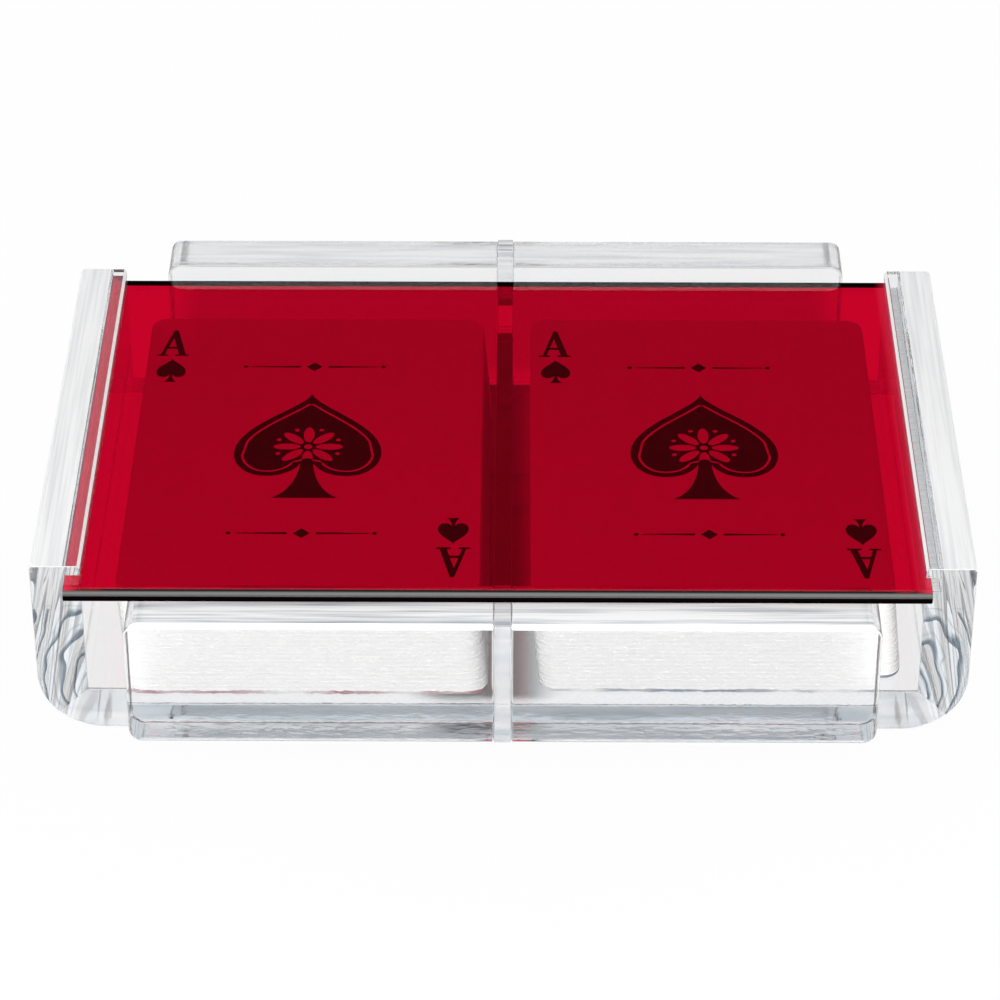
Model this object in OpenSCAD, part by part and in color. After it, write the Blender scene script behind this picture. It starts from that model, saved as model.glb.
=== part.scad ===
// Playing card tray for two decks: a clear acrylic body with a red acrylic lid that slides in
// grooves of the end walls and pulls out to the front. Millimetres. The origin is on the table,
// under the middle of the tray, with +X to the right, +Y to the back and +Z up.

/* [Cards] */
// Width of a card
card_w = 63.5; // [56:0.1:72]
// Length of a card
card_l = 88.9; // [80:0.1:122]
// Thickness of a card
card_t = 0.28; // [0.2:0.01:0.4]
// Air left between two cards
card_air = 0.01; // [0.005:0.005:0.05]
// Radius of a card's corners
card_r = 3.2; // [1:0.1:6]
// How far the bottom card of a deck lies to the right of the top one
deck_lean = 1.5; // [0:0.1:3]
// How far the bottom card of the left deck lies in front of the top one
left_deck_slope = 3.6; // [0:0.1:8]
// How far the bottom card of the right deck lies in front of the top one
right_deck_slope = 2.7; // [0:0.1:8]
// How far single cards stray to either side of the leaning deck
card_stray = 0.12; // [0:0.02:0.3]
// How far single cards stray lengthways
card_end_stray = 0.03; // [0:0.01:0.3]

/* [Wells] */
// Side room of a leaning deck in its well, both sides together
deck_side_room = 6.05; // [5.5:0.05:14]
// How far the left deck lies right of the middle of its side room
left_deck_off = 1.85; // [-2.2:0.05:2.2]
// How far the right deck lies right of the middle of its side room
right_deck_off = 0.3; // [-2.2:0.05:2.2]
// Room of the deck that slopes most in front of it and behind it together
deck_end_room = 5.5; // [3.4:0.1:24]
// How far both decks lie behind the middle of their end room
deck_back_off = 0.1; // [-1.2:0.1:1.2]
// Free height between a deck and the lid
deck_headroom = 6.45; // [3:0.05:40]

/* [Body] */
// Thickness of the end walls
wall_t = 8.7; // [6:0.1:14]
// Thickness of the base
base_t = 8.5; // [6:0.1:14]
// Radius of the rounded lower corners of the body
corner_r = 11.5; // [2:0.1:16]
// Thickness of the centre divider
divider_t = 3; // [2:0.1:6]
// Chamfer along the upper edges of the end walls
wall_chamfer = 0.5; // [0.1:0.1:0.9]
// Height of the lip above the lid's groove
lip_h = 1.9; // [1:0.1:6]

/* [Lid] */
// Thickness of the lid
lid_t = 2.7; // [2:0.1:6]
// Least reach of the lid's loose edge into its groove
lid_bite = 0.8; // [0.3:0.1:3]
// Side play of the lid in its two grooves together
lid_side_play = 1.9; // [0.2:0.1:3]
// Gap left between the lid and the bottom of the groove that it lies against
lid_side_gap = 0.05; // [0.02:0.01:0.1]
// Play of the lid in the height of its grooves
lid_play = 0.1; // [0.04:0.02:0.5]
// How far the lid sticks out in front of the end walls
lid_pull = 4.5; // [2:0.1:20]
// Gap between the lid's back edge and the back panels
lid_back_gap = 1.05; // [0.2:0.05:5]

/* [Panels] */
// Thickness of the front and back panels
panel_t = 10; // [7:0.1:14]
// Gap beside a panel, from its outer edge to the end wall
panel_side_gap = 7.85; // [3:0.05:20]
// Height of the joint between a panel and the edge of the base
panel_lap = 3.9; // [2:0.1:5.5]
// Gap between the lid and the front panels under it
panel_lid_gap = 0.4; // [0.1:0.1:2]
// How far the back panels stand above the end walls
back_rise = 0.8; // [0:0.1:8]
// Radius of the panels' outer corners
panel_r = 2.5; // [0.5:0.1:5]
// Chamfer along the upper edge of a panel's outer face
panel_chamfer = 0.8; // [0.1:0.1:2]
// How far the divider's rear post stands behind the inner face of the back panels
post_set_back = 3.7; // [0.5:0.1:6]

/* [Hidden] */
$fn = 64;

// How far a cutter runs past the face that it cuts
overcut = 1;

// Cards of one suit, and of a deck of four suits
SUIT = 13;
DECK = 4 * SUIT;
// Step in degrees of the stray of one card after the other
stray_step = 137;

// A deck in its well
card_step = card_t + card_air;
deck_h = DECK * card_step;
well_w = card_w + deck_lean + deck_side_room;
most_slope = max(left_deck_slope, right_deck_slope);

// The body in plan
tray_d = card_l + most_slope + deck_end_room;
inner_w = 2 * well_w + divider_t;
tray_w = inner_w + 2 * wall_t;
body_d = tray_d + 2 * panel_t;

// Heights of the lid, its groove and the end walls
lid_z = base_t + deck_h + deck_headroom;
groove_z = lid_z - lid_play / 2;
groove_h = lid_t + lid_play;
groove_d = lid_bite + lid_side_play;
wall_h = groove_z + groove_h + lip_h;

// Lid in plan: it lies against the left groove
lid_w = inner_w + 2 * lid_bite + lid_side_play;
lid_x = -inner_w / 2 - groove_d + lid_side_gap;
lid_l = tray_d + lid_pull - lid_back_gap;

// Panels
panel_w = well_w - panel_side_gap;
panel_foot = base_t - panel_lap;
front_top = lid_z - panel_lid_gap;
back_top = wall_h + back_rise;

// Places of the top cards
left_well_x = -divider_t / 2 - well_w;
right_well_x = divider_t / 2;
left_deck_x = left_well_x + deck_side_room / 2 + left_deck_off;
right_deck_x = right_well_x + deck_side_room / 2 + right_deck_off;
deck_y = -tray_d / 2 + deck_end_room / 2 + deck_back_off + most_slope;

CLEAR = [0.90, 0.94, 0.95, 0.45];
RED = [0.62, 0.02, 0.06, 0.75];
CARD = "ivory";

// Carries an outline drawn in x and height to a solid of depth d, centred front to back
module upright(d) {
    rotate([90, 0, 0])
        linear_extrude(height = d, center = true)
            children();
}

// Outline of the whole body in front view, with its two rounded lower corners
module body_outline() {
    translate([-tray_w / 2, corner_r])
        square([tray_w, wall_h - corner_r]);
    translate([-tray_w / 2 + corner_r, 0])
        square([tray_w - 2 * corner_r, corner_r]);
    for (side = [-1, 1])
        translate([side * (tray_w / 2 - corner_r), corner_r])
            circle(r = corner_r);
}

// Base plate, with a mitre at each end that runs to the outer corner of the body
module base_plate() {
    color(CLEAR)
        upright(tray_d)
            intersection() {
                polygon([
                    [-tray_w / 2, 0],
                    [tray_w / 2, 0],
                    [inner_w / 2, base_t],
                    [-inner_w / 2, base_t]
                ]);
                body_outline();
            }
}

// Right end wall: mitred foot, chamfered upper edges and the groove for the lid
module end_wall() {
    outer = tray_w / 2;
    inner = inner_w / 2;
    color(CLEAR)
        upright(tray_d)
            difference() {
                intersection() {
                    polygon([
                        [outer, 0],
                        [outer, wall_h - wall_chamfer],
                        [outer - wall_chamfer, wall_h],
                        [inner + wall_chamfer, wall_h],
                        [inner, wall_h - wall_chamfer],
                        [inner, base_t]
                    ]);
                    body_outline();
                }
                translate([inner - overcut, groove_z])
                    square([groove_d + overcut, groove_h]);
            }
}

module left_end_wall() {
    mirror([1, 0, 0])
        end_wall();
}

module right_end_wall() {
    end_wall();
}

// Divider plate between the wells: it straddles the base, runs out between the panels to their
// outer faces, and rises behind the lid as a post between the back panels
module centre_divider() {
    edge = tray_d / 2;
    face = body_d / 2;
    post = edge + post_set_back;
    color(CLEAR)
        rotate([90, 0, 90])
            linear_extrude(height = divider_t, center = true)
                polygon([
                    [-face, panel_foot],
                    [-edge, panel_foot],
                    [-edge, base_t],
                    [edge, base_t],
                    [edge, panel_foot],
                    [face, panel_foot],
                    [face, back_top],
                    [post, back_top],
                    [post, front_top],
                    [-face, front_top]
                ]);
}

// Outline of a right panel in front view, with its two outer corners rounded
module panel_outline(top) {
    h = top - panel_foot;
    translate([divider_t / 2, panel_foot]) {
        square([panel_w - panel_r, h]);
        translate([0, panel_r])
            square([panel_w, h - 2 * panel_r]);
        for (z = [panel_r, h - panel_r])
            translate([panel_w - panel_r, z])
                circle(r = panel_r);
    }
}

// Back right panel up to the given height, chamfered along the top of its outer face
module panel(top) {
    inner = tray_d / 2;
    outer = body_d / 2;
    color(CLEAR)
        intersection() {
            translate([0, (inner + outer) / 2, 0])
                upright(panel_t)
                    panel_outline(top);
            rotate([90, 0, 90])
                linear_extrude(height = tray_w)
                    polygon([
                        [inner, panel_foot],
                        [outer, panel_foot],
                        [outer, top - panel_chamfer],
                        [outer - panel_chamfer, top],
                        [inner, top]
                    ]);
        }
}

module front_left_panel() {
    rotate([0, 0, 180])
        panel(front_top);
}

module front_right_panel() {
    mirror([0, 1, 0])
        panel(front_top);
}

module back_left_panel() {
    mirror([1, 0, 0])
        panel(back_top);
}

module back_right_panel() {
    panel(back_top);
}

// Outline of the lid in side view, with its front edge half round
module lid_outline() {
    nose = lid_t / 2;
    translate([nose, 0])
        square([lid_l - nose, lid_t]);
    translate([nose, nose])
        circle(r = nose);
}

// Flat lid that slides in the grooves, with its front edge out past the end walls as the pull
module sliding_lid() {
    color(RED)
        translate([lid_x, -tray_d / 2 - lid_pull, lid_z])
            rotate([90, 0, 90])
                linear_extrude(height = lid_w)
                    lid_outline();
}

// One card, with its lower left corner at the origin
module card() {
    linear_extrude(height = card_t) {
        translate([card_r, 0])
            square([card_w - 2 * card_r, card_l]);
        translate([0, card_r])
            square([card_w, card_l - 2 * card_r]);
        for (x = [card_r, card_w - card_r], y = [card_r, card_l - card_r])
            translate([x, y])
                circle(r = card_r);
    }
}

// How far card i, counted from the bottom of a deck, lies to the right of the top card and behind it
function under(i) = 1 - i / (DECK - 1);
function shift_x(i) = deck_lean * under(i) + (i == DECK - 1 ? 0 : card_stray * sin(stray_step * i));
function shift_y(i, slope) =
    -slope * under(i) + (i == DECK - 1 ? 0 : card_end_stray * cos(stray_step * i));

// A run of cards of the deck whose top card starts at x and whose bottom card lies slope in front
module cards(x, slope, first, count) {
    color(CARD)
        for (i = [first : first + count - 1])
            translate([x + shift_x(i), deck_y + shift_y(i, slope), base_t + card_air + i * card_step])
                card();
}

module left_hearts() {
    cards(left_deck_x, left_deck_slope, 0, SUIT);
}

module left_clubs() {
    cards(left_deck_x, left_deck_slope, SUIT, SUIT);
}

module left_diamonds() {
    cards(left_deck_x, left_deck_slope, 2 * SUIT, SUIT);
}

module left_spades() {
    cards(left_deck_x, left_deck_slope, 3 * SUIT, SUIT - 1);
}

module left_ace_of_spades() {
    cards(left_deck_x, left_deck_slope, DECK - 1, 1);
}

module right_hearts() {
    cards(right_deck_x, right_deck_slope, 0, SUIT);
}

module right_clubs() {
    cards(right_deck_x, right_deck_slope, SUIT, SUIT);
}

module right_diamonds() {
    cards(right_deck_x, right_deck_slope, 2 * SUIT, SUIT);
}

module right_spades() {
    cards(right_deck_x, right_deck_slope, 3 * SUIT, SUIT - 1);
}

module right_ace_of_spades() {
    cards(right_deck_x, right_deck_slope, DECK - 1, 1);
}

base_plate();
left_end_wall();
right_end_wall();
centre_divider();
front_left_panel();
front_right_panel();
back_left_panel();
back_right_panel();
sliding_lid();
left_hearts();
left_clubs();
left_diamonds();
left_spades();
left_ace_of_spades();
right_hearts();
right_clubs();
right_diamonds();
right_spades();
right_ace_of_spades();
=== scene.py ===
"""Playing card tray: clear acrylic body for two decks of cards, under a sliding red acrylic lid."""

import math

import bmesh
import bpy
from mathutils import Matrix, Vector
from mathutils.bvhtree import BVHTree
from mathutils.geometry import delaunay_2d_cdt, intersect_point_line


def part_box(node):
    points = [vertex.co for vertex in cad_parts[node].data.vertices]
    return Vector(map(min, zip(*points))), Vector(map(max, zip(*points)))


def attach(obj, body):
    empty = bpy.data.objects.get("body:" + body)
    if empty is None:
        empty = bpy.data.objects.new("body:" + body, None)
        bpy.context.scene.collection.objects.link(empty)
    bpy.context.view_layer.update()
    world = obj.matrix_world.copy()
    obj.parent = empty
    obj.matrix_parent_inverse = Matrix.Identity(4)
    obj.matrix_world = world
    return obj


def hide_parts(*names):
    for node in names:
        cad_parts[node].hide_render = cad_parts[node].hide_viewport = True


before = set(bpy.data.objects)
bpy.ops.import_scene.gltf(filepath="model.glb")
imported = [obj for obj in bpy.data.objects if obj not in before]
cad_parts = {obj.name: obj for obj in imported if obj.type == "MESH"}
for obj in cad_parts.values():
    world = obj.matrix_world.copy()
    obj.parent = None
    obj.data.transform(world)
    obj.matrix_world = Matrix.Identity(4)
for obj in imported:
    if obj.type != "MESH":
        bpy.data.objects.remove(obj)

scene = bpy.context.scene
scene.view_settings.view_transform = "Standard"
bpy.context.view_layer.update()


# Camera. A long lens looks down on the front of the tray from above the table, a little to the
# right of the middle, as in the photograph.
MM = 0.001
camera_place = Vector((2.56, -596.4, 427.4)) * MM
camera_aim = Vector((-0.88, 21.65, 0.0)) * MM
LENS = 141.7
SENSOR = 36.0

camera = bpy.data.objects.new("camera", bpy.data.cameras.new("camera"))
camera.data.lens = LENS
camera.data.sensor_width = SENSOR
camera.location = camera_place
camera.rotation_euler = (camera_aim - camera_place).to_track_quat("-Z", "Y").to_euler()
scene.collection.objects.link(camera)
scene.camera = camera


# Base plate. A thick slab of cast acrylic, sawn to size, mitred at both ends to the end walls and
# solvent-cemented there. Its lower end corners are routed round and polished.
base_low, base_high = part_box("base_plate")
wall_low, wall_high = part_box("right_end_wall")
half_width = wall_high.x
CORNER_RADIUS = 11.5 * MM
EDGE_EASE = 0.35 * MM
ACRYLIC_IOR = 1.49
CLEAR_PIECES = (
    "base_plate", "left_end_wall", "right_end_wall", "centre_divider",
    "front_left_panel", "front_right_panel", "back_left_panel", "back_right_panel",
)


def to_linear(colour):
    """The linear RGBA of an sRGB hex colour such as #A1B2C3."""
    parts = [int(colour[i:i + 2], 16) / 255 for i in (1, 3, 5)]
    return [c / 12.92 if c <= 0.04045 else ((c + 0.055) / 1.055) ** 2.4 for c in parts] + [1.0]


def add_node(tree, kind, inputs=None, **settings):
    """Adds a node, sets it, and links or sets its inputs: a socket is linked, a value is set."""
    node = tree.nodes.new(kind)
    for name, value in settings.items():
        setattr(node, name, value)
    for name, value in (inputs or {}).items():
        if isinstance(value, bpy.types.NodeSocket):
            tree.links.new(value, node.inputs[name])
        else:
            node.inputs[name].default_value = value
    return node


def new_material(name):
    """An empty node material and its tree."""
    material = bpy.data.materials.new(name)
    material.use_nodes = True
    material.node_tree.nodes.clear()
    return material, material.node_tree


def lit_through(material, tree, surface):
    """Ends a material of acrylic: lamps pass it as a plain pane, so that they light what lies behind."""
    light_path = add_node(tree, "ShaderNodeLightPath")
    pane = add_node(tree, "ShaderNodeBsdfTransparent")
    either = add_node(tree, "ShaderNodeMixShader", {
        0: light_path.outputs["Is Shadow Ray"],
        1: surface.outputs[0],
        2: pane.outputs[0],
    })
    add_node(tree, "ShaderNodeOutputMaterial", {"Surface": either.outputs[0]})
    return material


def clear_acrylic(material, tree, finish=None):
    """Clear acrylic to the eye, and what sets one worked face of it apart from the others."""
    glass = add_node(tree, "ShaderNodeBsdfPrincipled", {
        "Base Color": to_linear("#FDFEFF"),
        "Roughness": 0.0,
        "IOR": ACRYLIC_IOR,
        "Transmission Weight": 1.0,
    } | (finish or {}))
    return lit_through(material, tree, glass)


def cast_acrylic_face():
    """Cast acrylic as it leaves the mould: a flat, glass-like face with no texture of its own."""
    return clear_acrylic(*new_material("clear_cast_acrylic"))


def polished_edge_with_painted_streaks(name, stretch, clarity, streak, ground):
    """A sawn edge, flame polished: a little milky, with long grey-blue streaks of painted shade in its
    tint.
    """
    material, tree = new_material(name)
    place = add_node(tree, "ShaderNodeTexCoord")
    stretched = add_node(tree, "ShaderNodeVectorMath", {
        0: place.outputs["Object"], 1: stretch}, operation="MULTIPLY")
    streaks = add_node(tree, "ShaderNodeTexNoise", {
        "Vector": stretched.outputs[0],
        "Scale": 1 / (1.1 * MM),
        "Detail": 2.0,
        "Roughness": 0.6,
    })
    tint = add_node(tree, "ShaderNodeValToRGB", {0: streaks.outputs[0]})
    ends = tint.color_ramp.elements
    ends[0].position, ends[0].color = 0.3, to_linear(streak)
    ends[1].position, ends[1].color = 0.6, to_linear(ground)
    return clear_acrylic(material, tree, {
        "Base Color": tint.outputs[0], "Roughness": 0.12, "Transmission Weight": clarity})


def cemented_seam():
    """Solvent cement melts two acrylic faces into one, so light passes the seam unbent."""
    material, tree = new_material("solvent_cemented_seam")
    through = add_node(tree, "ShaderNodeBsdfTransparent", {"Color": to_linear("#FFFFFF")})
    add_node(tree, "ShaderNodeOutputMaterial", {"Surface": through.outputs[0]})
    return material


def edge_seam_with_painted_shade():
    """A seam on a sawn edge, with painted shade: a grey-blue tint in streaks dims what shows through it.
    """
    material, tree = new_material("solvent_cemented_edge_seam")
    place = add_node(tree, "ShaderNodeTexCoord")
    stretched = add_node(tree, "ShaderNodeVectorMath", {
        0: place.outputs["Object"], 1: (0.05, 1.0, 1.0)}, operation="MULTIPLY")
    streaks = add_node(tree, "ShaderNodeTexNoise", {
        "Vector": stretched.outputs[0],
        "Scale": 1 / (1.4 * MM),
        "Detail": 2.0,
    })
    tint = add_node(tree, "ShaderNodeValToRGB", {0: streaks.outputs[0]})
    ends = tint.color_ramp.elements
    ends[0].position, ends[0].color = 0.35, to_linear("#F1F4F6")
    ends[1].position, ends[1].color = 0.65, to_linear("#FDFEFF")
    through = add_node(tree, "ShaderNodeBsdfTransparent", {"Color": tint.outputs[0]})
    add_node(tree, "ShaderNodeOutputMaterial", {"Surface": through.outputs[0]})
    return material


FACE, SEAM, EDGE_SEAM, CROSSWAYS = range(4)
acrylic = [
    cast_acrylic_face(),
    cemented_seam(),
    # Painted shade in grey-blue streaks on the edge seams.
    edge_seam_with_painted_shade(),
    # Painted streaks of shade on the cross edges.
    polished_edge_with_painted_streaks("flame_polished_cross_edge", (0.04, 1.0, 0.5), 0.78, "#D6DADE", "#FCFCFC"),
]
ALIGNED = 0.95
SHARP = math.radians(35)
CRISP = math.radians(50)
COS_SHARP = math.cos(SHARP)
PROBE = 0.02 * MM
TOUCH = 0.01 * MM
SPECK = 0.001 * MM


def arc(centre, radius, start, end, steps=16):
    """Points of an arc between two angles in degrees, both ends included."""
    angles = [math.radians(start + (end - start) * i / steps) for i in range(steps + 1)]
    return [(centre[0] + radius * math.cos(a), centre[1] + radius * math.sin(a)) for a in angles]


def prism(outline, along, low, high):
    """A solid with the outline as its section, drawn in (x, z) along Y or in (y, z) along X."""
    mesh = bmesh.new()
    rounded = mesh.faces.layers.int.new("rounded")

    def ring(place):
        points = [(place, a, b) if along == "X" else (a, place, b) for a, b in outline]
        return [mesh.verts.new(p) for p in points]

    first, last = ring(low), ring(high)
    mesh.faces.new(first)
    mesh.faces.new(last)
    for i in range(len(outline)):
        j = (i + 1) % len(outline)
        mesh.faces.new((first[i], first[j], last[j], last[i]))
    bmesh.ops.recalc_face_normals(mesh, faces=mesh.faces)
    mesh.normal_update()
    for edge in mesh.edges:
        if 0.001 < edge.calc_face_angle(0.0) < SHARP:
            for face in edge.link_faces:
                face[rounded] = 1
    return mesh


def ease_edges(mesh, radius, against=(), steps=3):
    """Rounds every crisp edge that isn't set against another piece, as wet sanding does."""
    sharp = [e for e in mesh.edges if e.calc_face_angle(0.0) > CRISP]
    for tree in against:
        middles = {e: (e.verts[0].co + e.verts[1].co) / 2 for e in sharp}
        sharp = [e for e in sharp if tree.find_nearest(middles[e])[3] > TOUCH]
    made = bmesh.ops.bevel(
        mesh, geom=sharp, offset=radius, segments=steps, profile=0.5, affect="EDGES")
    rounded = mesh.faces.layers.int["rounded"]
    for face in made["faces"]:
        face[rounded] = 1


def cut_at_neighbours(mesh, name):
    """Cuts the faces where the other clear pieces that touch this one begin and end."""
    own_low, own_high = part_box(name)
    for other in CLEAR_PIECES:
        low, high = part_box(other)
        apart = any(low[i] > own_high[i] + TOUCH or high[i] < own_low[i] - TOUCH for i in range(3))
        if other == name or apart:
            continue
        for corner in (low, high):
            for axis in range(3):
                normal = Vector((0, 0, 0))
                normal[axis] = 1
                everything = mesh.verts[:] + mesh.edges[:] + mesh.faces[:]
                bmesh.ops.bisect_plane(mesh, geom=everything, plane_co=corner, plane_no=normal)
    bmesh.ops.dissolve_degenerate(mesh, dist=SPECK, edges=mesh.edges)


def cut_off(mesh, place, direction):
    """Cuts off what lies beyond a plane, and closes the cut with a flat face."""
    everything = mesh.verts[:] + mesh.edges[:] + mesh.faces[:]
    made = bmesh.ops.bisect_plane(
        mesh, geom=everything, plane_co=place, plane_no=direction, clear_outer=True)
    rim = [part for part in made["geom_cut"] if isinstance(part, bmesh.types.BMEdge)]
    bmesh.ops.edgenet_fill(mesh, edges=rim)


def inside(tree, point):
    """True if a point lies in a closed solid."""
    hits, origin, step = 0, point.copy(), Vector((0.123, 0.456, 0.881)).normalized()
    while True:
        hit = tree.ray_cast(origin, step)[0]
        if hit is None:
            return hits % 2 == 1
        hits += 1
        origin = hit + step * SPECK


def solid_tree(name):
    """The search tree of a node's solid."""
    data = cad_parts[name].data
    corners = [v.co.copy() for v in data.vertices]
    return BVHTree.FromPolygons(corners, [tuple(p.vertices) for p in data.polygons])


clear_solids = {name: solid_tree(name) for name in CLEAR_PIECES}


def mark_seams(mesh, name):
    """Gives the seam to each face that lies against another clear piece."""
    others = [tree for other, tree in clear_solids.items() if other != name]
    for face in mesh.faces:
        probe = face.calc_center_median() + face.normal * PROBE
        if any(inside(tree, probe) for tree in others):
            face.material_index = EDGE_SEAM if abs(face.normal.y) > ALIGNED else SEAM


def shading_normals(mesh):
    """One normal for each corner of each face: flats stay flat, and rounds run smoothly into them."""
    rounded = mesh.faces.layers.int["rounded"]
    normals = []
    for face in mesh.faces:
        for corner in face.loops:
            normal = face.normal
            if face[rounded]:
                near = [f for f in corner.vert.link_faces if f.normal.dot(face.normal) > COS_SHARP]
                around = near or [face]
                flats = [f for f in around if not f[rounded]]
                normal = sum((f.normal * f.calc_area() for f in flats or around), Vector())
            normals.append(normal.normalized())
    return normals


def add_piece(name, mesh, materials, body, replaced=()):
    """Makes the object, shades its flats flat and its rounds smooth, and ties it to its body."""
    mesh.normal_update()
    mesh.faces.ensure_lookup_table()
    normals = shading_normals(mesh)
    data = bpy.data.meshes.new(name)
    mesh.to_mesh(data)
    mesh.free()
    data.shade_smooth()
    data.normals_split_custom_set(normals)
    for material in materials:
        data.materials.append(material)
    piece = bpy.data.objects.new(name, data)
    scene.collection.objects.link(piece)
    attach(piece, body)
    if replaced:
        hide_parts(*replaced)


def add_clear_piece(name, mesh, finish_of, ease=EDGE_EASE, against=(), chamfer=None):
    """A clear piece in place of its node. A function of a face gives the way that it was worked."""
    ease_edges(mesh, ease, [clear_solids[other] for other in against])
    if chamfer:
        cut_off(mesh, *chamfer)
    cut_at_neighbours(mesh, name)
    mesh.normal_update()
    for face in mesh.faces:
        face.material_index = finish_of(face)
    mark_seams(mesh, name)
    add_piece(name + "_clear", mesh, acrylic, "tray", (name,))


half_inside = wall_low.x
base_top = base_high.z
corner_x = half_width - CORNER_RADIUS
mitre_slope = base_top / (half_width - half_inside)


def outer_corner(start, end):
    """The routed lower right corner of the body, between two angles."""
    return arc((corner_x, CORNER_RADIUS), CORNER_RADIUS, start, end)


def mitre_angle():
    """The angle at which the mitre plane leaves through the rounded corner."""
    low, high = -90.0, 0.0
    for _ in range(40):
        middle = (low + high) / 2
        x = corner_x + CORNER_RADIUS * math.cos(math.radians(middle))
        z = CORNER_RADIUS + CORNER_RADIUS * math.sin(math.radians(middle))
        above = z > (half_width - x) * mitre_slope
        low, high = (low, middle) if above else (middle, high)
    return low


seam_angle = mitre_angle()
right_half = outer_corner(-90, seam_angle) + [(half_inside, base_top)]
left_half = [(-x, z) for x, z in reversed(right_half)]
add_clear_piece(
    "base_plate", prism(right_half + left_half, "Y", base_low.y, base_high.y),
    lambda face: CROSSWAYS if abs(face.normal.y) > ALIGNED else FACE,
    against=("left_end_wall", "right_end_wall"))


# End walls. Two thick strips of the same acrylic, mitred to the base. A saw cut near the top of
# the inner face is the groove that the lid slides in, with a thin lip left above it.
wall_top = wall_high.z
WALL_CHAMFER = 0.5 * MM
WALL_EASE = 0.15 * MM
SLANTED = 0.5
GROOVE_DEPTH = 2.7 * MM
GROOVE_PLAY = 0.05 * MM
LIP_WIDTH = 2.9 * MM
# The painted stripes of the routed ends: their pitch and drift, and the eye that they bow round.
PAINTED_STRIPE_PITCH = 2.2 * MM
PAINTED_STRIPE_DRIFT = 0.55
EYE_HEIGHT = 8.0 * MM
EYE_STRETCH = 2.6
STRIPES_END = 28.5 * MM
STRIPES_FADE = 4 * MM
WAVE_LENGTH = math.pi / 10  # of the wave pattern at a scale of 1
lid_low, lid_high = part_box("sliding_lid")
groove_low, groove_high = lid_low.z - GROOVE_PLAY, lid_high.z + GROOVE_PLAY

right_wall = outer_corner(seam_angle, 0) + [
    (half_width, wall_top - WALL_CHAMFER),
    (half_width - WALL_CHAMFER, wall_top),
    (half_inside + LIP_WIDTH, wall_top),
    (half_inside + WALL_CHAMFER, wall_top),
    (half_inside, wall_top - WALL_CHAMFER),
    (half_inside, groove_high),
    (half_inside + GROOVE_DEPTH, groove_high),
    (half_inside + GROOVE_DEPTH, groove_low),
    (half_inside, groove_low),
    (half_inside, base_top),
]


def routed_edge_with_painted_stripes():
    """An end cut by a router that ran round the outline, then polished. Its tint holds painted stripes:
    blue-grey bands of painted shade that bow out round its lower inner corner."""
    material, tree = new_material("routed_acrylic_edge_painted_stripes")
    place = add_node(tree, "ShaderNodeTexCoord")
    folded = add_node(tree, "ShaderNodeVectorMath", {0: place.outputs["Object"]}, operation="ABSOLUTE")
    split = add_node(tree, "ShaderNodeSeparateXYZ", {0: folded.outputs[0]})
    toward = add_node(tree, "ShaderNodeVectorMath", {
        0: folded.outputs[0], 1: (half_inside, 0, EYE_HEIGHT)}, operation="SUBTRACT")
    above = add_node(tree, "ShaderNodeVectorMath", {0: toward.outputs[0]}, operation="MAXIMUM")
    above = add_node(tree, "ShaderNodeVectorMath", {
        0: above.outputs[0], 1: (1, 0, 1 / EYE_STRETCH)}, operation="MULTIPLY")
    below = add_node(tree, "ShaderNodeVectorMath", {0: toward.outputs[0]}, operation="MINIMUM")
    below = add_node(tree, "ShaderNodeVectorMath", {
        0: below.outputs[0], 1: (0, 0, 1)}, operation="MULTIPLY")
    either = add_node(tree, "ShaderNodeVectorMath", {0: above.outputs[0], 1: below.outputs[0]})
    from_eye = add_node(tree, "ShaderNodeVectorMath", {0: either.outputs[0]}, operation="LENGTH")
    drift = add_node(tree, "ShaderNodeMath", {
        0: split.outputs["Z"], 1: PAINTED_STRIPE_DRIFT}, operation="MULTIPLY")
    across = add_node(tree, "ShaderNodeSeparateXYZ", {0: place.outputs["Object"]})
    painted_stripe_place = add_node(tree, "ShaderNodeCombineXYZ", {
        "X": from_eye.outputs["Value"], "Y": drift.outputs[0], "Z": across.outputs["X"]})
    stripes = add_node(tree, "ShaderNodeTexWave", {
        "Vector": painted_stripe_place.outputs[0],
        "Scale": WAVE_LENGTH / PAINTED_STRIPE_PITCH,
        "Distortion": 7.0,
        "Detail": 1.5,
        "Detail Scale": 1.1,
    }, wave_profile="SAW")
    below_groove = add_node(tree, "ShaderNodeMapRange", {
        "Value": split.outputs["Z"],
        "From Min": STRIPES_END - STRIPES_FADE,
        "From Max": STRIPES_END,
    }, interpolation_type="SMOOTHSTEP")
    pale = add_node(tree, "ShaderNodeMath", {
        0: stripes.outputs["Fac"], 1: below_groove.outputs[0]}, operation="MAXIMUM")
    tint = add_node(tree, "ShaderNodeValToRGB", {0: pale.outputs[0]})
    ends = tint.color_ramp.elements
    ends[0].position, ends[0].color = 0.0, to_linear("#3E4C59")
    ends[1].position, ends[1].color = 0.85, to_linear("#F8F9FA")
    between = (
        (0.13, "#52606D"), (0.22, "#B4BDC5"), (0.28, "#EFF1F3"),
        (0.42, "#E8EBEE"), (0.46, "#98A4AF"), (0.52, "#F0F2F4"))
    for stop, colour in between:
        ends.new(stop).color = to_linear(colour)
    return clear_acrylic(material, tree, {"Base Color": tint.outputs[0]})


def sawn_groove():
    """The floor of the groove, left as the saw cut it: white with fine marks along the cut."""
    material, tree = new_material("sawn_acrylic_groove")
    place = add_node(tree, "ShaderNodeTexCoord")
    stretched = add_node(tree, "ShaderNodeVectorMath", {
        0: place.outputs["Object"], 1: (0.2, 1.0, 1.0)}, operation="MULTIPLY")
    marks = add_node(tree, "ShaderNodeTexNoise", {
        "Vector": stretched.outputs[0],
        "Scale": 1 / (0.5 * MM),
        "Detail": 1.0,
    })
    haze = add_node(tree, "ShaderNodeMapRange", {
        "Value": marks.outputs[0], "From Min": 0.3, "From Max": 0.7, "To Min": 0.0, "To Max": 0.2})
    return clear_acrylic(material, tree, {"Transmission Weight": haze.outputs[0], "Roughness": 0.1})


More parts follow.
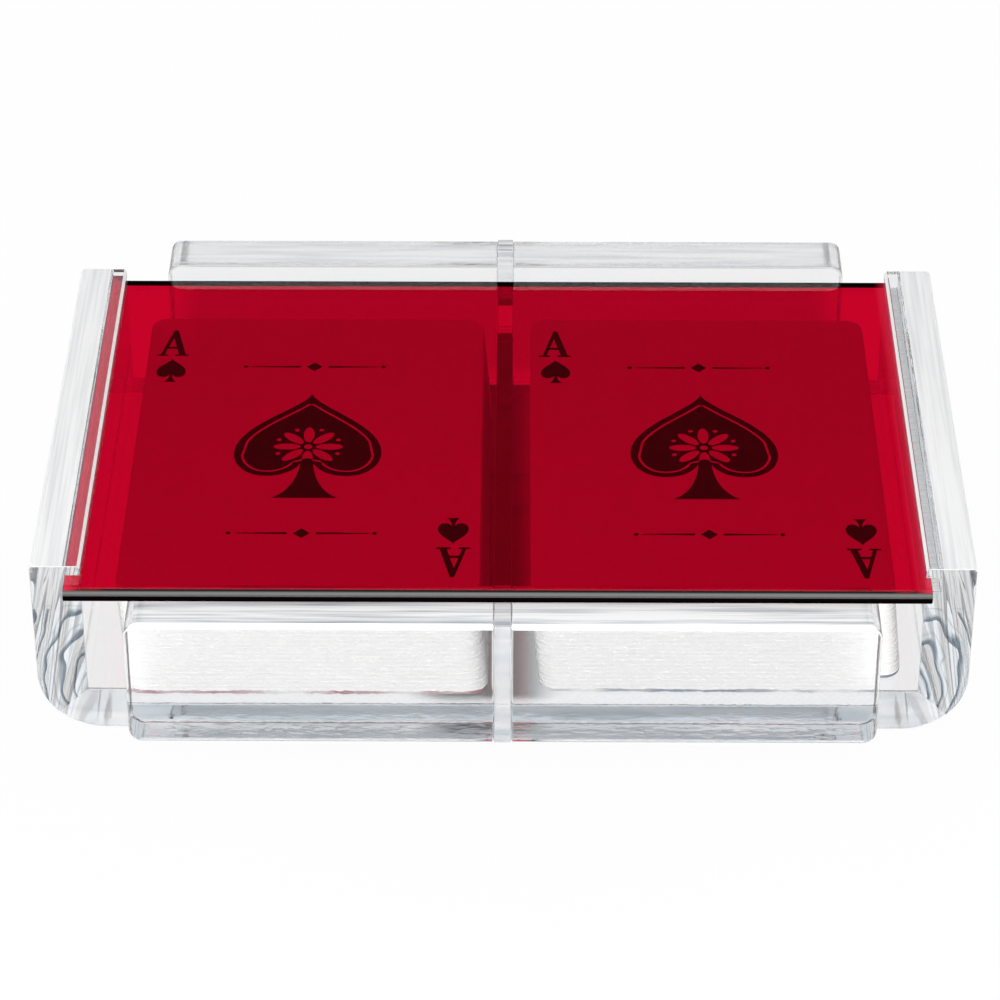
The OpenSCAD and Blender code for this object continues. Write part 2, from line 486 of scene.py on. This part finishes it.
def sanded_chamfer():
    """An edge broken with sandpaper and left matt: it scatters light and shows as a white line."""
    material, tree = new_material("sanded_acrylic_chamfer")
    return clear_acrylic(material, tree, {"Roughness": 0.5, "Transmission Weight": 0.2})


acrylic += [
    # Painted stripes of shade on the routed ends.
    routed_edge_with_painted_stripes(),
    # Faint painted streaks of shade on the long edges.
    polished_edge_with_painted_streaks("flame_polished_long_edge", (1.6, 0.03, 0.5), 0.12, "#EAECEE", "#FFFFFF"),
    sawn_groove(),
    sanded_chamfer(),
]
ROUTED, LENGTHWAYS, SAWN, SANDED = range(4, 8)


def wall_finish(face):
    """The ends are routed and carry painted stripes, the top is polished, milky and faintly streaked
    with painted shade but for its lip, its edges are sanded, and the groove's floor is sawn."""
    middle = face.calc_center_median()
    height = middle.z
    if abs(face.normal.y) > ALIGNED:
        return ROUTED
    if height > wall_top - SPECK:
        return LENGTHWAYS if abs(middle.x) > half_inside + LIP_WIDTH else FACE
    if height > wall_top - WALL_CHAMFER and abs(face.normal.z) > SLANTED:
        return SANDED
    if abs(height - groove_low) < SPECK and face.normal.z > ALIGNED:
        return SAWN
    return FACE


for side, name in ((1, "right_end_wall"), (-1, "left_end_wall")):
    outline = [(side * x, z) for x, z in right_wall]
    add_clear_piece(
        name, prism(outline, "Y", wall_low.y, wall_high.y), wall_finish, ease=WALL_EASE,
        against=("base_plate",))


# Centre divider. A thin plate that straddles the base between the wells, shows its edge between
# the panels at the front, and rises behind the lid between the back panels.
divider_low, divider_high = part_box("centre_divider")
front_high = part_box("front_right_panel")[1]
back_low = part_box("back_right_panel")[0]
POST_SET_BACK = 3.7 * MM
DIVIDER_EASE = 0.2 * MM
post = back_low.y + POST_SET_BACK
divider_outline = [
    (divider_low.y, divider_low.z),
    (front_high.y, divider_low.z),
    (front_high.y, base_top),
    (back_low.y, base_top),
    (back_low.y, divider_low.z),
    (divider_high.y, divider_low.z),
    (divider_high.y, divider_high.z),
    (post, divider_high.z),
    (post, front_high.z),
    (divider_low.y, front_high.z),
]
# Strong painted streaks of shade on the top edges.
acrylic.append(polished_edge_with_painted_streaks("flame_polished_top_edge", (0.03, 1.0, 0.5), 0.22, "#A6AEB8", "#FFFFFF"))
TOP = 8


def divider_finish(face):
    """The ends are polished, and so is the top where it shows between the panels: both carry
    painted streaks of shade.
    """
    place = face.calc_center_median().y
    if face.normal.z > ALIGNED and (place < front_high.y or place > post):
        return TOP
    return CROSSWAYS if abs(face.normal.y) > ALIGNED else FACE


add_clear_piece(
    "centre_divider", prism(divider_outline, "X", divider_low.x, divider_high.x), divider_finish,
    ease=DIVIDER_EASE)


# Front and back panels. Four thick blocks cemented to the edges of the base and to the divider,
# with rounded outer corners. The front pair ends under the lid, and the back pair stops the lid.
PANEL_RADIUS = 2.5 * MM
PANEL_CHAMFER = 0.8 * MM
PANEL_EASE = 0.4 * MM


def buffed_face():
    """A face sanded and buffed by hand: clear, with low waves that bend what shows through it."""
    material, tree = new_material("buffed_acrylic_face")
    place = add_node(tree, "ShaderNodeTexCoord")
    stretched = add_node(tree, "ShaderNodeVectorMath", {
        0: place.outputs["Object"], 1: (0.4, 1.0, 1.0)}, operation="MULTIPLY")
    waves = add_node(tree, "ShaderNodeTexNoise", {
        "Vector": stretched.outputs[0],
        "Scale": 1 / (1.0 * MM),
        "Detail": 2.0,
        "Roughness": 0.5,
    })
    bump = add_node(tree, "ShaderNodeBump", {
        "Height": waves.outputs[0],
        "Strength": 1.0,
        "Distance": 0.026 * MM,
    })
    return clear_acrylic(material, tree, {"Normal": bump.outputs[0], "Roughness": 0.05})


acrylic.append(buffed_face())
BUFFED = 9


def panel_finish(face):
    """The top is polished with painted streaks of shade, milky at the front, the outer face buffed, and
    the top's edge sanded.
    """
    place = face.calc_center_median().y
    if face.normal.z > ALIGNED:
        return TOP if place < 0 else CROSSWAYS
    slanted = face.normal.z > SLANTED and abs(face.normal.y) > SLANTED
    if slanted and abs(place) > divider_high.y - PANEL_CHAMFER:
        return SANDED
    if abs(face.normal.y) > ALIGNED and abs(place) > divider_high.y - TOUCH:
        return BUFFED
    return FACE


for name in ("front_left_panel", "front_right_panel", "back_left_panel", "back_right_panel"):
    low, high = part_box(name)
    side = 1 if low.x + high.x > 0 else -1
    near, far = sorted((abs(low.x), abs(high.x)))
    outline = [(near, high.z), (near, low.z)]
    outline += arc((far - PANEL_RADIUS, low.z + PANEL_RADIUS), PANEL_RADIUS, -90, 0, 8)
    outline += arc((far - PANEL_RADIUS, high.z - PANEL_RADIUS), PANEL_RADIUS, 0, 90, 8)
    outline = [(side * x, z) for x, z in outline]
    mesh = prism(outline, "Y", low.y, high.y)
    outer = max(low.y, high.y, key=abs)
    chamfer = (Vector((0, outer, high.z - PANEL_CHAMFER)), Vector((0, math.copysign(1, outer), 1)))
    add_clear_piece(name, mesh, panel_finish, ease=PANEL_EASE, chamfer=chamfer)


# Decks. Two packs of 52 plastic-coated paper cards lie face up, a little askew, with the ace of
# spades on top. The faces are printed in black, the backs in a lattice, red or blue.
# The rims of the lowest cards carry painted shade, tinted with the colour of their backs.
SUITS = ("hearts", "clubs", "diamonds", "spades", "ace_of_spades")
BACK_COLOURS = {"left": "#B3202C", "right": "#1F4C94"}
RIM_SHADE_COLOURS = {"left": "#A87884", "right": "#8791A4"}
RIM_HEIGHT = 0.5 * MM
BACK_BORDER = 3.5 * MM
LATTICE = 3.2 * MM
LATTICE_LINE = 0.3 * MM
LATTICE_DOT = 0.8 * MM
BACK, RIM = 1, 2
LEVEL, UPRIGHT = 0.9, 0.1
INK_LOW, INK_HIGH = -0.004 * MM, 0.012 * MM


def coated_card():
    """Plastic-coated paper: white, faintly warm, with a soft sheen and fine pulp on the cut edge."""
    material, tree = new_material("coated_card_stock")
    place = add_node(tree, "ShaderNodeTexCoord")
    pulp = add_node(tree, "ShaderNodeTexNoise", {
        "Vector": place.outputs["Object"],
        "Scale": 1 / (1.2 * MM),
        "Detail": 3.0,
    })
    tint = add_node(tree, "ShaderNodeMix", {
        "Factor": pulp.outputs[0],
        "A": to_linear("#F6F5F4"),
        "B": to_linear("#FCFBFA"),
    }, data_type="RGBA")
    paper = add_node(tree, "ShaderNodeBsdfPrincipled", {
        "Base Color": tint.outputs["Result"],
        "Roughness": 0.45,
        "IOR": 1.5,
    })
    add_node(tree, "ShaderNodeOutputMaterial", {"Surface": paper.outputs[0]})
    return material


def card_back(name, colour, centre, half_size):
    """A printed back: a lattice of white lines on the pack's colour, inside a white border."""
    material, tree = new_material(name)
    place = add_node(tree, "ShaderNodeTexCoord")
    offset = add_node(tree, "ShaderNodeVectorMath", {
        0: place.outputs["Object"], 1: centre}, operation="SUBTRACT")
    split = add_node(tree, "ShaderNodeSeparateXYZ", {0: offset.outputs[0]})
    lines = []
    for slope in ("ADD", "SUBTRACT"):
        slanted = add_node(tree, "ShaderNodeMath", {
            0: split.outputs["X"], 1: split.outputs["Y"]}, operation=slope)
        lines.append(add_node(tree, "ShaderNodeMath", {
            0: slanted.outputs[0], 1: LATTICE / 2}, operation="PINGPONG").outputs[0])
    nearest = add_node(tree, "ShaderNodeMath", {0: lines[0], 1: lines[1]}, operation="MINIMUM")
    farthest = add_node(tree, "ShaderNodeMath", {0: lines[0], 1: lines[1]}, operation="ADD")
    line = add_node(tree, "ShaderNodeMath", {
        0: nearest.outputs[0], 1: LATTICE_LINE}, operation="LESS_THAN")
    dot = add_node(tree, "ShaderNodeMath", {
        0: farthest.outputs[0], 1: LATTICE - LATTICE_DOT}, operation="GREATER_THAN")
    paper = add_node(tree, "ShaderNodeMath", {
        0: line.outputs[0], 1: dot.outputs[0]}, operation="MAXIMUM")
    for axis, half in zip("XY", half_size):
        reach = add_node(tree, "ShaderNodeMath", {0: split.outputs[axis]}, operation="ABSOLUTE")
        border = add_node(tree, "ShaderNodeMath", {
            0: reach.outputs[0], 1: half - BACK_BORDER}, operation="GREATER_THAN")
        paper = add_node(tree, "ShaderNodeMath", {
            0: paper.outputs[0], 1: border.outputs[0]}, operation="MAXIMUM")
    printed = add_node(tree, "ShaderNodeMix", {
        "Factor": paper.outputs[0],
        "A": to_linear(colour),
        "B": to_linear("#F4F2EE"),
    }, data_type="RGBA")
    sheet = add_node(tree, "ShaderNodeBsdfPrincipled", {
        "Base Color": printed.outputs["Result"],
        "Roughness": 0.45,
        "IOR": 1.5,
    })
    add_node(tree, "ShaderNodeOutputMaterial", {"Surface": sheet.outputs[0]})
    return material


def painted_shade_rim(name, colour):
    """The rim of the lowest cards, with painted shade and painted reflection: wavy patches in a dull
    tint of the back's colour.
    """
    material, tree = new_material(name)
    place = add_node(tree, "ShaderNodeTexCoord")
    shade_wobble = add_node(tree, "ShaderNodeTexNoise", {
        "Vector": place.outputs["Object"],
        "Scale": 1 / (8 * MM),
        "Detail": 1.0,
    })
    tint = add_node(tree, "ShaderNodeValToRGB", {0: shade_wobble.outputs[0]})
    ends = tint.color_ramp.elements
    ends[0].position, ends[0].color = 0.35, to_linear(colour)
    ends[1].position, ends[1].color = 0.7, to_linear("#F0EDEC")
    paper = add_node(tree, "ShaderNodeBsdfPrincipled", {
        "Base Color": tint.outputs[0],
        "Roughness": 0.5,
        "IOR": 1.5,
    })
    add_node(tree, "ShaderNodeOutputMaterial", {"Surface": paper.outputs[0]})
    return material


def printing_ink():
    """Black printing ink under the card's coating: dense, with a soft sheen."""
    material, tree = new_material("black_printing_ink")
    ink = add_node(tree, "ShaderNodeBsdfPrincipled", {
        "Base Color": to_linear("#0C0C0C"),
        "Roughness": 0.7,
        "IOR": 1.3,
    })
    add_node(tree, "ShaderNodeOutputMaterial", {"Surface": ink.outputs[0]})
    return material


def bezier(a, b, c, d, steps=12):
    """Points along a cubic curve, the last one left out."""
    points = []
    for i in range(steps):
        t = i / steps
        weights = ((1 - t) ** 3, 3 * t * (1 - t) ** 2, 3 * t ** 2 * (1 - t), t ** 3)
        points.append(tuple(sum(w * p[k] for w, p in zip(weights, (a, b, c, d))) for k in (0, 1)))
    return points


def mirrored(half):
    """A closed outline from its right half, which starts and ends on the axis."""
    return half + [(-x, y) for x, y in reversed(half) if abs(x) > 1e-6]


def inset(outline, by):
    """The outline drawn again at a distance inside itself, for outlines that run clockwise."""
    points = [Vector(p) for p in outline]
    sides = [(points[i - 1], points[i]) for i in range(len(points))]
    kept = []
    for i, point in enumerate(points):
        along = (points[(i + 1) % len(points)] - points[i - 1]).normalized()
        moved = point + Vector((along.y, -along.x)) * by
        gaps = []
        for a, b in sides:
            share = intersect_point_line(moved, a, b)[1]
            gaps.append((moved - a.lerp(b, min(max(share, 0), 1))).length)
        if min(gaps) > by * 0.995:
            kept.append((moved.x, moved.y))
    return kept


def ellipse(centre, half_length, half_width, angle, steps=16):
    """An ellipse whose long axis lies at an angle in degrees."""
    turn = math.radians(angle)
    points = []
    for i in range(steps):
        a = 2 * math.pi * i / steps
        u, v = half_length * math.cos(a), half_width * math.sin(a)
        points.append((
            centre[0] + u * math.cos(turn) - v * math.sin(turn),
            centre[1] + u * math.sin(turn) + v * math.cos(turn)))
    return points


# Outlines of the print in mm, about the card's middle: the spade's head and stem, the letter of the
# corner index, the rosette in the head, and the rules above and below.
head_half = bezier((0, 18), (1.6, 13.2), (13.5, 7.6), (13.5, -1.4))
head_half += bezier((13.5, -1.4), (13.5, -6.2), (10.6, -9.0), (7.3, -9.0))
head_half += bezier((7.3, -9.0), (4.6, -9.0), (2.3, -7.6), (1.2, -5.0))
stem_half = bezier((1.2, -5.0), (1.5, -10.4), (3.3, -14.4), (6.0, -16.0)) + [(6.0, -16.0), (0, -16.0)]
spade = mirrored(head_half + stem_half)
spade_head = mirrored(head_half + [(0, -5.0)])
LETTER = [
    (0, 0), (0, 0.5), (0.7, 0.5), (2.75, 9.0), (3.5, 9.0), (5.45, 0.5), (6.0, 0.5), (6.0, 0), (3.5, 0),
    (3.5, 0.5), (4.15, 0.5), (3.69, 2.5), (1.93, 2.5), (1.45, 0.5), (2.1, 0.5), (2.1, 0)]
LETTER_EYE = [(2.1, 3.2), (2.83, 6.24), (3.53, 3.2)]
LETTER_LEFT, LETTER_FOOT = -30.1, 31.2
PIP_LEFT, PIP_FOOT = -27.0, 25.9
PIP_ACROSS, PIP_UP = 0.205, 0.235
WHITE_LINE = (1.3, 1.75)
ROSETTE_X, ROSETTE_Y, ROSETTE_EYE = 0.0, 0.5, 0.75
PETALS = 8
PETAL_OUT, PETAL_HALF = 3.9, (2.5, 1.0)
BEAD_OUT, BEAD = 5.9, 0.45
RULE_HEIGHTS = (27.5, -27.0)
RULE_START, RULE_END, RULE_BEAD = 2.6, 12.0, 13.0
RULE_THICK, RULE_THIN = 0.3, 0.08
DIAMOND = 1.5
petals = []
for petal in range(PETALS):
    angle = 360 * petal / PETALS + 90
    turn = math.radians(angle)
    middle = (ROSETTE_X + PETAL_OUT * math.cos(turn), ROSETTE_Y + PETAL_OUT * math.sin(turn))
    petals.append(ellipse(middle, *PETAL_HALF, angle))
    turn += math.pi / PETALS
    middle = (ROSETTE_X + BEAD_OUT * math.cos(turn), ROSETTE_Y + BEAD_OUT * math.sin(turn))
    petals.append(ellipse(middle, BEAD, BEAD, 0))
petals.append(ellipse((ROSETTE_X, ROSETTE_Y), ROSETTE_EYE, ROSETTE_EYE, 0))
line_outside, line_inside = [inset(spade_head, by) for by in WHITE_LINE]
emblem = [[spade, line_outside], [line_inside] + petals]
for height in RULE_HEIGHTS:
    emblem.append([[
        (-DIAMOND, height), (0, height + DIAMOND), (DIAMOND, height), (0, height - DIAMOND)]])
    for side in (1, -1):
        bar = [
            (RULE_START, height - RULE_THICK), (RULE_START, height + RULE_THICK),
            (RULE_END, height + RULE_THIN), (RULE_END, height - RULE_THIN)]
        emblem.append([[(side * x, y) for x, y in bar]])
        emblem.append([ellipse((side * RULE_BEAD, height), BEAD, BEAD, 0)])
corner = [[[(x + LETTER_LEFT, y + LETTER_FOOT) for x, y in shape] for shape in (LETTER, LETTER_EYE)]]
corner.append([[(PIP_ACROSS * x + PIP_LEFT, PIP_UP * y + PIP_FOOT) for x, y in spade]])
opposite = [[[(-x, -y) for x, y in outline] for outline in shape] for shape in corner]


def inked(point, shape):
    """True if a point lies in the shape's outline and in none of its holes."""
    crossings = 0
    for ring in shape:
        for (ax, ay), (bx, by) in zip(ring, ring[1:] + ring[:1]):
            if (ay > point.y) != (by > point.y):
                crossings += point.x < ax + (point.y - ay) / (by - ay) * (bx - ax)
    return crossings % 2 == 1


def add_print(mesh, shape, centre, top):
    """One inked shape as a thin closed solid on the card: its outline and the holes in it."""
    points, rims = [], []
    for ring in shape:
        first = len(points)
        points += [Vector(p) for p in ring]
        rims += [(first + i, first + (i + 1) % len(ring)) for i in range(len(ring))]
    points, _, triangles, *_ = delaunay_2d_cdt(points, rims, [], 1, 1e-5)
    triangles = [t for t in triangles if inked(sum((points[i] for i in t), Vector((0, 0))) / 3, shape)]
    places = [(p.x * MM + centre.x, p.y * MM + centre.y) for p in points]
    low = [mesh.verts.new((x, y, top + INK_LOW)) for x, y in places]
    high = [mesh.verts.new((x, y, top + INK_HIGH)) for x, y in places]
    sides = set()
    for triangle in triangles:
        mesh.faces.new([low[i] for i in reversed(triangle)])
        mesh.faces.new([high[i] for i in triangle])
        for i in range(3):
            sides.add((triangle[i - 1], triangle[i]))
    for a, b in sides:
        if (b, a) not in sides:
            mesh.faces.new((low[a], low[b], high[b], high[a]))


card_stock = coated_card()
ink = printing_ink()
for deck in ("left", "right"):
    for suit in SUITS:
        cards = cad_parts[f"{deck}_{suit}"]
        cards.data.materials.clear()
        cards.data.materials.append(card_stock)

    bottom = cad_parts[f"{deck}_hearts"].data
    lowest = min(v.co.z for v in bottom.vertices)
    downward = [p for p in bottom.polygons if p.normal.z < -LEVEL and p.center.z < lowest + TOUCH]
    corners = [bottom.vertices[i].co for p in downward for i in p.vertices]
    spread = [(min(c[k] for c in corners), max(c[k] for c in corners)) for k in (0, 1)]
    middle = (sum(spread[0]) / 2, sum(spread[1]) / 2, lowest)
    half_size = [(far - near) / 2 for near, far in spread]
    bottom.materials.append(card_back(f"{deck}_card_back", BACK_COLOURS[deck], middle, half_size))
    # Painted shade round the foot of the pack.
    bottom.materials.append(painted_shade_rim(f"{deck}_card_rim_painted_shade", RIM_SHADE_COLOURS[deck]))
    for polygon in bottom.polygons:
        if abs(polygon.normal.z) < UPRIGHT and polygon.center.z < lowest + RIM_HEIGHT:
            polygon.material_index = RIM
    for polygon in downward:
        polygon.material_index = BACK

    ace_low, ace_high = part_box(f"{deck}_ace_of_spades")
    print_mesh = bmesh.new()
    print_mesh.faces.layers.int.new("rounded")
    for shape in emblem + corner + opposite:
        add_print(print_mesh, shape, (ace_low + ace_high) / 2, ace_high.z)
    bmesh.ops.recalc_face_normals(print_mesh, faces=print_mesh.faces)
    add_piece(f"{deck}_ace_print", print_mesh, [ink], f"{deck}_deck")


# Sliding lid. A flat sheet of transparent red acrylic with polished edges. What lies under it shows
# red, and light that runs along the sheet is lost in it, so its edges look black.
# The sides carry a painted glow, and the round front edge a painted highlight.
PAINTED_GLOW_WIDTH = 2.8 * MM
PAINTED_GLOW = 0.6
LID_EASE = 0.12 * MM
LID_FACE, LID_EDGE = range(2)
FLAT = 0.85


def red_acrylic():
    """Acrylic dyed through: a mirror-smooth face that stains what shows through it. Along the sides it
    carries a painted glow: its tint turns pale pink there and it lets less through."""
    material, tree = new_material("transparent_red_acrylic")
    place = add_node(tree, "ShaderNodeTexCoord")
    offset = add_node(tree, "ShaderNodeVectorMath", {
        0: place.outputs["Object"], 1: (lid_low + lid_high) / 2}, operation="SUBTRACT")
    offset = add_node(tree, "ShaderNodeVectorMath", {0: offset.outputs[0]}, operation="ABSOLUTE")
    split = add_node(tree, "ShaderNodeSeparateXYZ", {0: offset.outputs[0]})
    half_lid = (lid_high.x - lid_low.x) / 2
    # Painted glow along the sides: a pale pink tint and less clarity toward the edge.
    margin = {"Value": split.outputs["X"], "From Min": half_lid - PAINTED_GLOW_WIDTH, "From Max": half_lid}
    glow = add_node(tree, "ShaderNodeMapRange", margin | {"To Max": PAINTED_GLOW})
    clarity = add_node(tree, "ShaderNodeMapRange", margin | {"To Min": 1.0, "To Max": 1 - PAINTED_GLOW})
    dye = add_node(tree, "ShaderNodeMix", {
        "Factor": glow.outputs[0],
        "A": to_linear("#D6012B"),
        "B": to_linear("#FF4A70"),
    }, data_type="RGBA")
    glass = add_node(tree, "ShaderNodeBsdfPrincipled", {
        "Base Color": dye.outputs["Result"],
        "Roughness": 0.0,
        "IOR": ACRYLIC_IOR,
        "Transmission Weight": clarity.outputs[0],
    })
    return lit_through(material, tree, glass)


def red_acrylic_edge_painted_highlight():
    """The sheet seen edge on: so deep a red that it looks black, with a painted highlight: its gloss
    rises to full where its face turns 30 to 44 degrees up, and fades off above and below.
    """
    material, tree = new_material("red_acrylic_edge_painted_highlight")
    surface = add_node(tree, "ShaderNodeNewGeometry")
    split = add_node(tree, "ShaderNodeSeparateXYZ", {0: surface.outputs["Normal"]})
    # Painted highlight: the gloss is set by how far the face turns up.
    polish = add_node(tree, "ShaderNodeValToRGB", {0: split.outputs["Z"]})
    ends = polish.color_ramp.elements
    ends[0].position, ends[0].color = 0.2, (0, 0, 0, 1)
    ends[1].position, ends[1].color = 0.85, (0, 0, 0, 1)
    ends.new(0.5).color = (1, 1, 1, 1)
    ends.new(0.7).color = (1, 1, 1, 1)
    gloss = add_node(tree, "ShaderNodeBsdfPrincipled", {
        "Base Color": to_linear("#070304"),
        "Roughness": 0.16,
        "IOR": 2.8,
        "Specular IOR Level": polish.outputs[0],
    })
    return lit_through(material, tree, gloss)


nose = (lid_high.z - lid_low.z) / 2
lid_outline = arc((lid_low.y + nose, lid_low.z + nose), nose, 90, 270, 20)
lid_outline += [(lid_high.y, lid_low.z), (lid_high.y, lid_high.z)]
lid_mesh = prism(lid_outline, "X", lid_low.x, lid_high.x)
ease_edges(lid_mesh, LID_EASE)
lid_mesh.normal_update()
for face in lid_mesh.faces:
    face.material_index = LID_FACE if abs(face.normal.z) > FLAT else LID_EDGE
lid_materials = [red_acrylic(), red_acrylic_edge_painted_highlight()]
add_piece("sliding_lid_red", lid_mesh, lid_materials, "lid", ("sliding_lid",))


# Floor and light. A white table, a broad soft light above the camera, two small ones behind the tray,
# and a pale room that is darker high up at the back, where the lid mirrors it. Seen through acrylic,
# the table carries painted shade between the decks and behind the tray.
FLOOR_SIZE = 6.0
FLOOR_GAP = 0.02 * MM
WHITE_TO_CAMERA = 0.95
WHITE_THROUGH_ACRYLIC = 0.92
# Patches of painted shade on the table, seen only through acrylic:
PAINTED_SHADES = (  # each with its middle, half its size and its fade in mm, and how bright it is
    ((-3.5, 6.75, 0), (5, 47.25, 1000), (10, 3.5, 1), 0.14),
    ((0, 85, 0), (62, 13, 1000), (8, 8, 1), 0.66),
)
floor_mesh = bmesh.new()
bmesh.ops.create_grid(floor_mesh, x_segments=1, y_segments=1, size=FLOOR_SIZE / 2)
floor_data = bpy.data.meshes.new("floor")
floor_mesh.to_mesh(floor_data)
floor_mesh.free()
floor = bpy.data.objects.new("floor", floor_data)
floor.location.z = -FLOOR_GAP
scene.collection.objects.link(floor)

floor_material, tree = new_material("white_table")
light_path = add_node(tree, "ShaderNodeLightPath")
place = add_node(tree, "ShaderNodeTexCoord")
shade = []
for centre, half_size, fade, level in PAINTED_SHADES:
    outside = add_node(tree, "ShaderNodeVectorMath", {
        0: place.outputs["Object"], 1: Vector(centre) * MM}, operation="SUBTRACT")
    outside = add_node(tree, "ShaderNodeVectorMath", {0: outside.outputs[0]}, operation="ABSOLUTE")
    outside = add_node(tree, "ShaderNodeVectorMath", {
        0: outside.outputs[0], 1: Vector(half_size) * MM}, operation="SUBTRACT")
    outside = add_node(tree, "ShaderNodeVectorMath", {0: outside.outputs[0]}, operation="MAXIMUM")
    outside = add_node(tree, "ShaderNodeVectorMath", {
        0: outside.outputs[0], 1: Vector(fade) * MM}, operation="DIVIDE")
    distance = add_node(tree, "ShaderNodeVectorMath", {0: outside.outputs[0]}, operation="LENGTH")
    shade.append(add_node(tree, "ShaderNodeMapRange", {
        "Value": distance.outputs["Value"],
        "To Min": level,
        "To Max": WHITE_THROUGH_ACRYLIC,
    }, interpolation_type="SMOOTHSTEP"))
# The darker of the two painted shade patches.
painted_table_shade = add_node(tree, "ShaderNodeMath", {
    0: shade[0].outputs[0], 1: shade[1].outputs[0]}, operation="MINIMUM")
strength = add_node(tree, "ShaderNodeMath", {
    0: light_path.outputs["Is Camera Ray"], 1: painted_table_shade.outputs[0]}, operation="MAXIMUM")
share = add_node(tree, "ShaderNodeMath", {
    0: light_path.outputs["Is Camera Ray"],
    1: WHITE_TO_CAMERA,
    2: light_path.outputs["Is Transmission Ray"],
}, operation="MULTIPLY_ADD")
matt = add_node(tree, "ShaderNodeBsdfDiffuse", {"Color": to_linear("#F4F4F4")})
glow = add_node(tree, "ShaderNodeEmission", {
    "Color": to_linear("#FFFFFF"), "Strength": strength.outputs[0]})
mixed = add_node(tree, "ShaderNodeMixShader", {
    0: share.outputs[0], 1: matt.outputs[0], 2: glow.outputs[0]})
add_node(tree, "ShaderNodeOutputMaterial", {"Surface": mixed.outputs[0]})
floor_data.materials.append(floor_material)

world = bpy.data.worlds.new("studio")
world.use_nodes = True
scene.world = world
tree = world.node_tree
tree.nodes.clear()
direction = add_node(tree, "ShaderNodeTexCoord")
split = add_node(tree, "ShaderNodeSeparateXYZ", {0: direction.outputs["Generated"]})


BACK_FADE = 0.2


def backdrop(front, edge, stops):
    """A room whose back changes with height, as (height, colour) pairs, and whose front is plain."""
    behind = add_node(tree, "ShaderNodeMapRange", {
        "Value": split.outputs["Y"], "From Min": edge, "From Max": edge + BACK_FADE},
        interpolation_type="SMOOTHSTEP")
    ramp = add_node(tree, "ShaderNodeValToRGB", {0: split.outputs["Z"]})
    ends = ramp.color_ramp.elements
    ends[0].position, ends[0].color = stops[0][0], to_linear(stops[0][1])
    ends[1].position, ends[1].color = stops[-1][0], to_linear(stops[-1][1])
    for height, colour in stops[1:-1]:
        ends.new(height).color = to_linear(colour)
    room = add_node(tree, "ShaderNodeMix", {
        "Factor": behind.outputs[0], "A": to_linear(front), "B": ramp.outputs[0]}, data_type="RGBA")
    return add_node(tree, "ShaderNodeBackground", {"Color": room.outputs["Result"], "Strength": 1.0})


dim = backdrop(
    "#BCBCBC", 0.0, [(0.15, "#A0A0A0"), (0.32, "#1C1E20"), (0.70, "#1C1E20"), (0.84, "#B0B0B0")])
clear = backdrop("#FFFFFF", 0.35, [
    (0.40, "#FFFFFF"), (0.52, "#E2E7EB"), (0.66, "#E2E7EB"), (0.78, "#FFFFFF")])
white = add_node(tree, "ShaderNodeBackground", {"Color": to_linear("#FFFFFF"), "Strength": 1.0})
light_path = add_node(tree, "ShaderNodeLightPath")
even = add_node(tree, "ShaderNodeBackground", {"Color": to_linear("#BABABA"), "Strength": 1.0})
mixed = add_node(tree, "ShaderNodeMixShader", {
    0: light_path.outputs["Is Glossy Ray"], 1: even.outputs[0], 2: dim.outputs[0]})
mixed = add_node(tree, "ShaderNodeMixShader", {
    0: light_path.outputs["Is Transmission Ray"], 1: mixed.outputs[0], 2: clear.outputs[0]})
mixed = add_node(tree, "ShaderNodeMixShader", {
    0: light_path.outputs["Is Camera Ray"], 1: mixed.outputs[0], 2: white.outputs[0]})
add_node(tree, "ShaderNodeOutputWorld", {"Surface": mixed.outputs[0]})


def add_softbox(name, size, energy, place):
    """A square soft light, turned to the tray, that doesn't show in it or through it."""
    light = bpy.data.objects.new(name, bpy.data.lights.new(name, "AREA"))
    light.data.shape = "SQUARE"
    light.data.size = size
    light.data.energy = energy
    light.data.cycles.use_multiple_importance_sampling = False
    light.location = place
    light.rotation_euler = (-light.location).to_track_quat("-Z", "Y").to_euler()
    light.visible_camera = False
    light.visible_transmission = False
    light.visible_glossy = False
    scene.collection.objects.link(light)


add_softbox("softbox", 0.9, 15.3, (-0.1, -1.02, 0.58))
for side, name in ((-1, "left_fill_light"), (1, "right_fill_light")):
    add_softbox(name, 0.4, 4.0, (side * 0.82, 0.85, 0.22))

# Light crosses many faces of acrylic before it leaves the tray.
scene.cycles.max_bounces = 32
scene.cycles.transmission_bounces = 32
scene.cycles.glossy_bounces = 16
scene.cycles.transparent_max_bounces = 32
scene.cycles.caustics_reflective = False
scene.cycles.caustics_refractive = False
